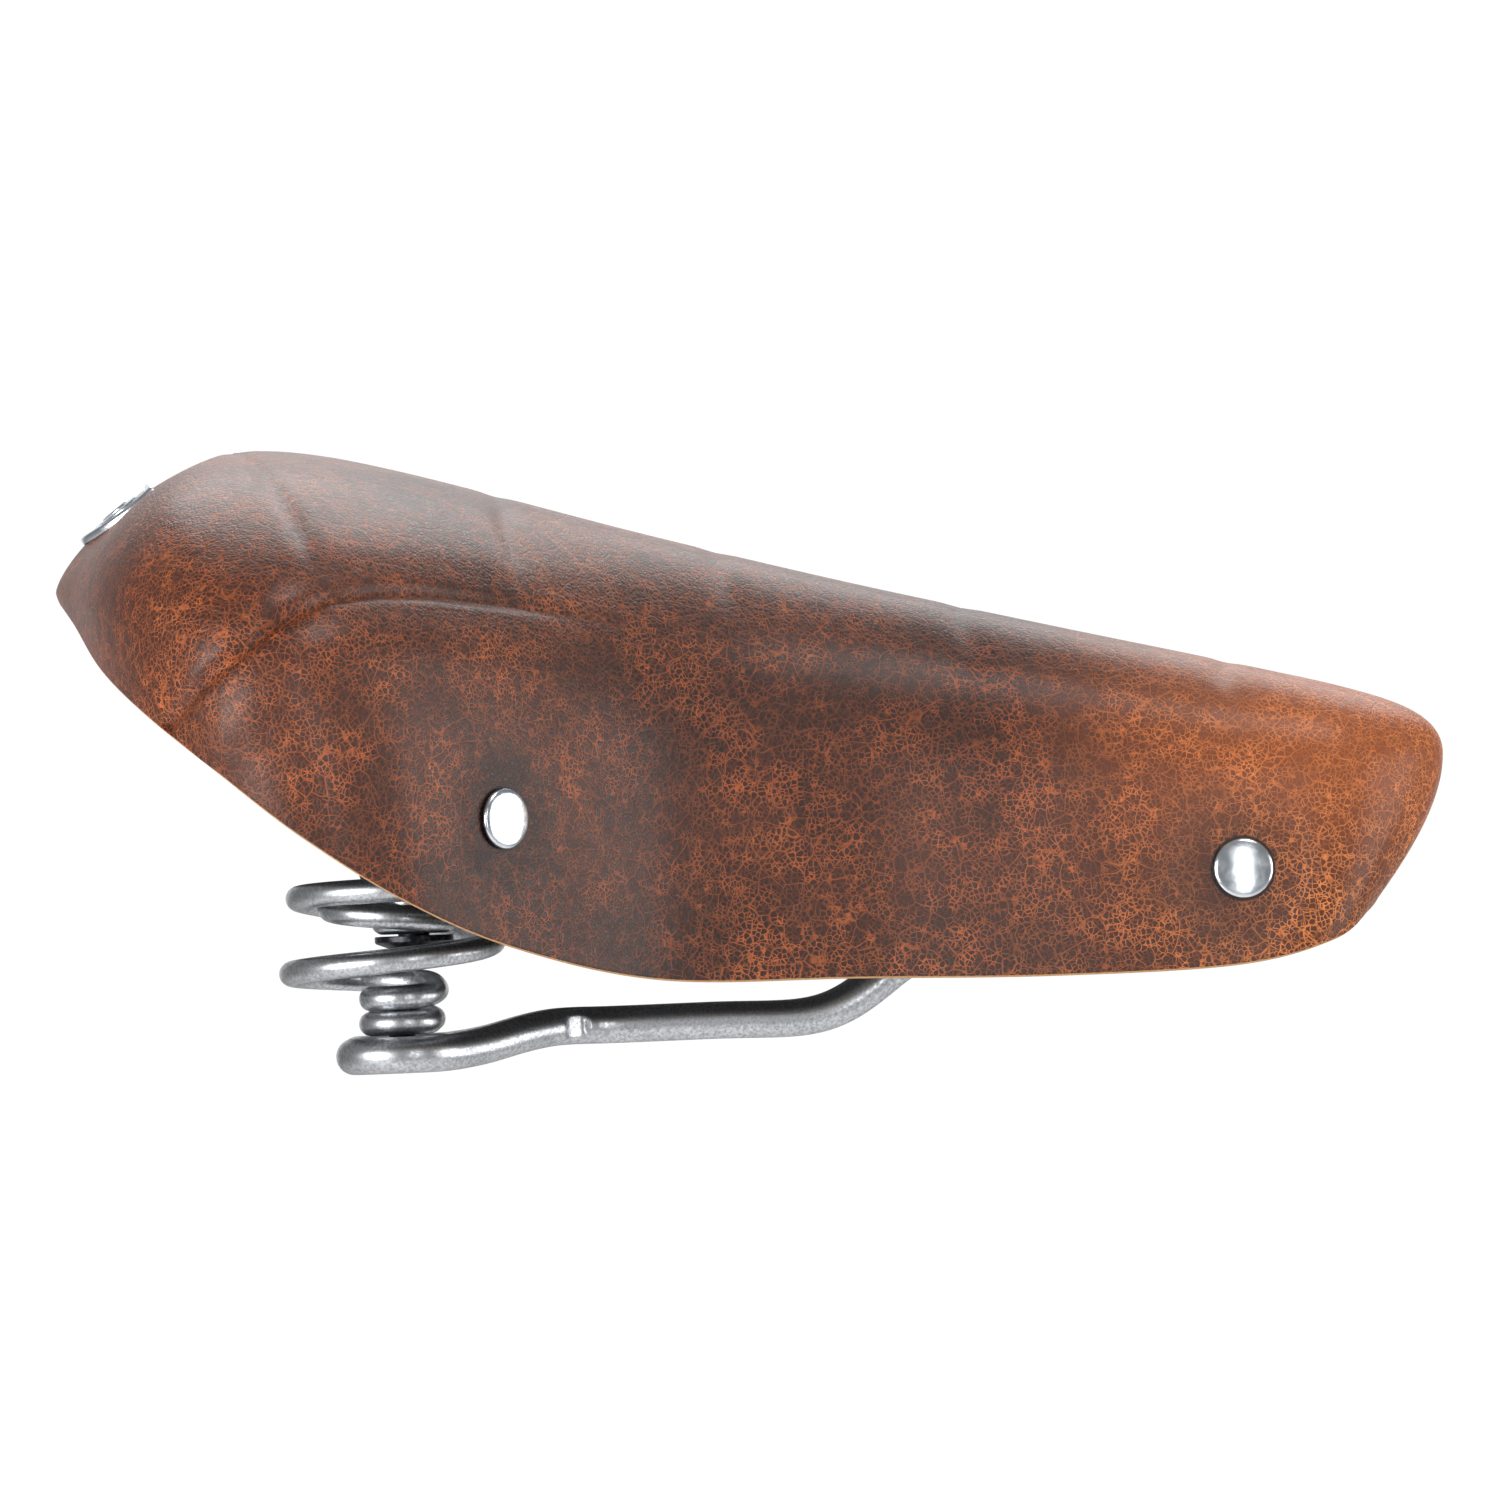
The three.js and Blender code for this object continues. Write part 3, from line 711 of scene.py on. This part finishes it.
def shield(margin, z, shrink=1.0, count=144):
    """Badge outline, straight along its top edge and bent to the tail's curve."""
    ring = []
    for k in range(count):
        a = 2 * math.pi * (k + 0.5) / count
        x = min(BADGE_MIDDLE + (BADGE_LONG + margin) * math.cos(a), BADGE_TOP + margin) * shrink
        y = (BADGE_WIDE + margin) * math.sin(a) * shrink
        ring.append((x, y, z - y ** 2 / (2 * BADGE_BEND_R)))
    return ring


def stacked(name, rings, material, matrix):
    """Closed solid through a stack of equal rings; both ends are filled by rings that shrink to a point."""
    first, last = np.array(rings[0]), np.array(rings[-1])
    layers = [first * (share, share, 1) for share in (0.0, 0.25, 0.5, 0.75)]
    layers += [np.array(ring) for ring in rings]
    layers += [last * (share, share, 1) for share in (0.75, 0.5, 0.25, 0.0)]
    for layer, ring in [(k, first) for k in range(4)] + [(k - 4, last) for k in range(4)]:
        fall = (ring[:, 1] ** 2 - layers[layer][:, 1] ** 2) / (2 * BADGE_BEND_R)
        layers[layer][:, 2] = ring[:, 2] + fall
    grid = np.array(layers).transpose(1, 0, 2)
    count, rows = grid.shape[:2]
    obj = make(name, grid.reshape(-1, 3), rows_to_faces(count, rows), [material], sharp_deg=50)
    obj.data.transform(matrix)
    return obj


def make_badge():
    """Metal plate with a bevelled rim, round a dark field that holds two plain stepped plaques."""
    stand = standing(0.0, BADGE_V)
    profile = [(-0.3, -0.6), (0, -0.4), (0, 0.5), (-0.25, 0.8), (-0.6, 0.9), (-1.05, 0.85), (-1.4, 0.55),
               (-1.55, 0.1)]
    plate = stacked("badge_rim", [shield(margin, z) for margin, z in profile], CHROME, stand)
    join_in(plate, "seat", "chrome", "badge_frame")
    levels = [shield(-1.7, -0.1), shield(-1.7, 0.25), shield(-1.9, 0.32)]
    field = stacked("badge_field", levels, ENAMEL, stand)
    join_in(field, "seat", "enamel", "badge_inlay")
    for k, (shrink, top) in enumerate(((0.74, 0.7), (0.42, 1.0))):
        profile = [(-1.9, top - 0.55), (-1.9, top - 0.15), (-2.4, top)]
        levels = [shield(margin, z, shrink) for margin, z in profile]
        plaque = stacked(f"badge_plaque_{k + 1}", levels, CHROME, stand)
        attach(plaque, "seat")


make_badge()


# ---- rail wire and springs ------------------------------------------------------------

def rail_path():
    """Centre line of the one bent wire: eye, rail, nose bar, and the same again on the other side."""
    eye = []
    for degrees in np.arange(320, 43, -23):
        a = math.radians(degrees)
        eye.append((SPRING_X + EYE_R * math.cos(a), SPRING_Y + EYE_R * math.sin(a), EYE_Z))
    run = [(-49.3, 47.3, -3.6), (-43.8, 41.3, -2.7), (-37.5, 34.9, -1.1), (-31.9, 28.6, -0.1),
           (-27.2, 24, 0.1), (-22, RAIL_Y, 0), (0, RAIL_Y, 0), (18, RAIL_Y, 0), (24, 21.9, 1.6),
           (29.5, 21.5, 4.8), (36, 21, 9.6), (60, 18.5, 22), (90, 14.5, 33.2), (103, 12.9, 35.9),
           (109, 11.2, PIVOT_Z), (PIVOT_X, 7.6, PIVOT_Z), (PIVOT_X, 3.8, PIVOT_Z)]
    left = eye + run
    right = [(x, -y, z) for x, y, z in reversed(left)]
    return evenly(centripetal(left + [(PIVOT_X, 0, PIVOT_Z)] + right, 24), 0.8 if FINE == 2 else 1.6)


# (turns from +X, centreline radius, centre height) of the right spring, seen from above.
COIL = [(0.47, 5.9, STACK_Z), (0.75, 5.9, STACK_Z), (1, 5.9, 2.4), (1.22, 5.9, 4.5), (1.47, 5.9, 6.95),
        (1.75, 5.9, 7), (2, 6.5, 7.8), (2.2, 12.5, 9.7), (2.5, 20.7, 12.3), (2.75, 19.6, 14.2),
        (3, 18, 17.1), (3.25, 18.4, 22.2), (3.5, 18.9, 26.6), (3.75, 18.2, 27.6), (4, 17.4, 27.6),
        (4.25, 16.4, 26.6), (4.5, 14.2, 24.2), (4.75, 9.4, 22.1), (5, 6.2, SEAT_RING_Z),
        (5.4, 6, SEAT_RING_Z), (5.8, 6, SEAT_RING_Z)]


def coil_path(sign):
    """Centre line of one spring, which leans forward over its last full turn."""
    keys = centripetal(COIL, 40)
    angle = 2 * np.pi * keys[:, 0]
    lean = np.clip(keys[:, 0] - 4, 0, 1)
    middle = SPRING_X + SPRING_LEAN * lean * lean * (3 - 2 * lean)
    path = np.stack([middle + keys[:, 1] * np.cos(angle), sign * (SPRING_Y - keys[:, 1] * np.sin(angle)),
                     keys[:, 2]], 1)
    return evenly(path, 0.6 if FINE == 2 else 1.2)


def crimp(obj, path, x, half_long=2.8, depth=0.8):
    """Stop mark pinched into the outer side of each rail, at x: a short flat with a low lip at both ends."""
    for sign in (1, -1):
        near = np.argmin(np.abs(path[:, 0] - x) + 100 * (path[:, 1] * sign < 0))
        centre = Vector(path[near])
        along = Vector(path[near + 1] - path[near - 1]).normalized()
        out = Vector((0, 0, 1)).cross(along).normalized()
        out *= math.copysign(1, out.y * sign)
        for vertex in obj.data.vertices:
            offset = vertex.co / MM - centre
            reach = abs(offset.dot(along)) / half_long
            proud = offset.dot(out)
            if reach > 1.4 or proud < 1.5 or offset.length > 8:
                continue
            if reach < 1:
                vertex.co -= out * max(proud - (RAIL_D / 2 - depth * (1 - reach ** 4)), 0) * MM
            else:
                vertex.co += out * 0.15 * math.sin(math.pi * (reach - 1) / 0.4) * MM


rail = rail_path()
wire = sweep("rail_wire_bent", rail, RAIL_D / 2, STEEL, 32)
crimp(wire, rail, CRIMP_X)
join_in(wire, "frame", "steel", "rail_wire")
for side, sign in SIDES.items():
    coil = sweep(f"coil_spring_{side}", coil_path(sign), SPRING_D / 2, STEEL, 24)
    join_in(coil, None, "steel", f"spring_{side}")
    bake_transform(coil)


# ---- spring hardware --------------------------------------------------------------------

def hexagon(across_flats):
    corner = across_flats / math.sqrt(3)
    return [(corner * math.cos(k * math.pi / 3), corner * math.sin(k * math.pi / 3)) for k in range(6)]


def hex_prism(name, across_flats, low, high, material):
    return bevel(prism(name, hexagon(across_flats), low, high, material), 0.35, 3)


EYE_CUP = [(2.9, -3.9), (4.9, -3.9), (4.9, -7.0), (5.2, -7.2), (7.1, -7.2), (7.3, -7.0), (5.6, -4.8),
           (5.55, -2.7), (5.3, -2.4), (2.9, -2.4), (2.9, -3.9)]
LOWER_BOLT = [(0, -7.1), (2.2, -7.1), (2.5, -6.8), (2.5, 6.3), (4.2, 9.1), (4.1, 9.3), (2.6, 9.3),
              (2.2, 8.0), (0, 8.0)]
UPPER_SEAT = [(3.3, 24.2), (7.5, 24.2), (7.8, 24.5), (7.8, 25.2), (7.5, 25.5), (3.3, 25.5), (3.3, 24.2)]
UPPER_FLANGE = [(0, 16.3), (4.5, 16.3), (5.2, 16.5), (7.2, 17.3), (7.5, 17.6), (7.5, 18.5), (7.3, 18.7),
                (3, 18.7), (3, 41.5), (2.6, 42), (0, 42)]
BOSS = [(0, 26.3), (3.4, 26.3), (3.4, 25.9), (8.1, 25.9), (8.6, 26.3), (11, 34), (13.6, 66), (0, 66)]


def spring_hardware(side, sign):
    place = Matrix.Translation((SPRING_X * MM, sign * SPRING_Y * MM, 0))
    cup = turned(f"eye_cup_washer_{side}", EYE_CUP, PLATED, place)
    join_in(cup, "frame", "steel", f"eye_cup_{side}")
    bolt = turned(f"lower_bolt_turned_{side}", LOWER_BOLT, BLACK, place)
    join_in(bolt, "frame", "dark_steel", f"lower_bolt_{side}")
    nut = hex_prism(f"lower_nut_hex_{side}", 7.8, -6.9, -4.2, PLATED)
    nut.data.transform(place)
    join_in(nut, "frame", "steel", f"lower_nut_{side}")
    place = Matrix.Translation(((SPRING_X + SPRING_LEAN) * MM, sign * SPRING_Y * MM, 0))
    seat = turned(f"upper_seat_washer_{side}", UPPER_SEAT, PLATED, place)
    join_in(seat, "seat", "steel", f"upper_seat_{side}")
    flange = turned(f"upper_bolt_flange_{side}", UPPER_FLANGE, BLACK, place)
    join_in(flange, "seat", "dark_steel", f"upper_bolt_{side}")
    head = hex_prism(f"upper_bolt_head_{side}", 8.6, 14.0, 16.6, BLACK)
    head.data.transform(place)
    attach(head, "seat")
    boss = turned(f"spring_boss_{side}", BOSS, PLASTIC, place)
    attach(boss, "seat")
    for k in range(4):
        a = math.radians(45 + 90 * k)
        fin_plan = [(6, -0.9), (13.5, -0.9), (13.5, 0.9), (6, 0.9)]
        fin = prism(f"boss_fin_{k + 1}_{side}", fin_plan, 38, 64, PLASTIC)
        fin.data.transform(place @ Matrix.Rotation(a, 4, "Z"))
        bevel(fin, 0.3)
        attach(fin, "seat")


for side, sign in SIDES.items():
    spring_hardware(side, sign)


# ---- nose clamp -----------------------------------------------------------------------

def notched_block(name, low, high, material, notch_at, width=5.2):
    """Clamp half seen from the side: a rectangle with a round groove for the bar, drawn along Y."""
    radius = RAIL_D / 2 + 0.35
    start, end = PIVOT_X - 11, PIVOT_X + 11
    dip = math.asin(min(1, abs(notch_at - PIVOT_Z) / radius))
    arc = np.linspace(dip, math.pi - dip, 20)
    sign = 1 if high > PIVOT_Z else -1
    groove = [(PIVOT_X + radius * math.cos(a), PIVOT_Z + sign * radius * math.sin(a)) for a in arc]
    flat, far = (low, high) if sign > 0 else (high, low)
    outline = [(end, flat), (end, far), (start, far), (start, flat)] + groove[::-1]
    count = len(outline)
    vertices = [(x, -width, z) for x, z in outline] + [(x, width, z) for x, z in outline]
    faces = [tuple(range(count)), tuple(range(count, 2 * count))]
    faces += [(i, (i + 1) % count, count + (i + 1) % count, count + i) for i in range(count)]
    return bevel(make(name, vertices, faces, [material]), 0.5, 3)


block = notched_block("nose_block_nylon", PIVOT_Z + 0.4, 42.7, PLASTIC, PIVOT_Z + 0.4)
join_in(block, "seat", "plastic", "nose_block")
keeper = notched_block("nose_keeper_plate", 30.4, PIVOT_Z - 0.4, PLATED, PIVOT_Z - 0.4)
join_in(keeper, "seat", "steel", "nose_keeper")
SCREW = [(0, 28.4), (1.6, 28.4), (2.0, 27.7), (2.6, 27.6), (3.5, 28.5), (3.7, 28.9), (3.7, 30.0),
         (3.6, 30.15), (2, 30.15), (2, 42.6), (1.6, 42.9), (1.6, 47.4), (0, 47.4)]
for k, x in enumerate((PIVOT_X - 7.5, PIVOT_X + 7.5)):
    screw = turned(f"nose_screw_turned_{k + 1}", SCREW, BLACK, Matrix.Translation((x * MM, 0, 0)), 48)
    join_in(screw, "seat", "dark_steel", f"nose_screw_{k + 1}")
pad = prism("nose_pad", [(101, -11), (123, -11), (123, 11), (101, 11)], 43, 48.5, PLASTIC)
bevel(pad, 0.6)
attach(pad, "seat")


# ---- studio ---------------------------------------------------------------------------

def area_light(name, place, aim, size, power):
    """Softbox in metres and watts, turned to face aim."""
    light = bpy.data.lights.new(name, "AREA")
    light.shape = "RECTANGLE"
    light.size, light.size_y = size
    light.energy = power
    obj = bpy.data.objects.new(name, light)
    obj.location = place
    obj.rotation_euler = (Vector(aim) - Vector(place)).to_track_quat("-Z", "Y").to_euler()
    bpy.context.scene.collection.objects.link(obj)


def white_room():
    """World: white behind the saddle and dim elsewhere, so that the metal has something dark to show."""
    world = bpy.data.worlds.new("white_room")
    bpy.context.scene.world = world
    world.use_nodes = True
    tree = world.node_tree
    where = tree.nodes.new("ShaderNodeTexCoord")
    split = tree.nodes.new("ShaderNodeSeparateXYZ")
    ramp = tree.nodes.new("ShaderNodeMapRange")
    ramp.interpolation_type = "SMOOTHSTEP"
    tree.links.new(where.outputs["Generated"], split.inputs[0])
    tree.links.new(split.outputs["Y"], ramp.inputs["Value"])
    limits = {"From Min": 0.78, "From Max": 0.97, "To Min": ROOM_DIM, "To Max": ROOM_WHITE}
    for socket, value in limits.items():
        ramp.inputs[socket].default_value = value
    tree.links.new(ramp.outputs[0], tree.nodes["Background"].inputs["Strength"])
    tree.nodes["Background"].inputs["Color"].default_value = (1, 1, 1, 1)


def make_floor():
    """Round pale floor well below the saddle."""
    turns = np.linspace(0, 2 * np.pi, 96, endpoint=False)
    rim = [(FLOOR_R * math.cos(a), FLOOR_R * math.sin(a), FLOOR_Z) for a in turns]
    mesh = bpy.data.meshes.new("floor")
    mesh.from_pydata(rim, [], [tuple(range(len(rim)))])
    mesh.materials.append(floor_paint())
    obj = bpy.data.objects.new("floor", mesh)
    bpy.context.scene.collection.objects.link(obj)


def make_camera():
    """Long lens 4 m off the saddle's right side, level with the rails and rolled by 2.4 degrees."""
    roll = math.radians(CAMERA_ROLL_DEG)
    level_up = Vector((math.sin(roll), 0, math.cos(roll)))
    forward = (CAMERA_AIM - CAMERA_PLACE).normalized()
    up = (level_up - forward * level_up.dot(forward)).normalized()
    right = forward.cross(up)
    camera = bpy.data.cameras.new("camera")
    camera.sensor_width = 36.0
    camera.lens = CAMERA_LENS
    camera.clip_end = 200.0
    obj = bpy.data.objects.new("camera", camera)
    turn = Matrix((right, up, -forward)).transposed()
    obj.matrix_world = Matrix.Translation(CAMERA_PLACE) @ turn.to_4x4()
    bpy.context.scene.collection.objects.link(obj)
    bpy.context.scene.camera = obj


white_room()
make_floor()
make_camera()
for light in LIGHTS:
    area_light(*light)
bpy.context.scene.view_settings.view_transform = "Standard"
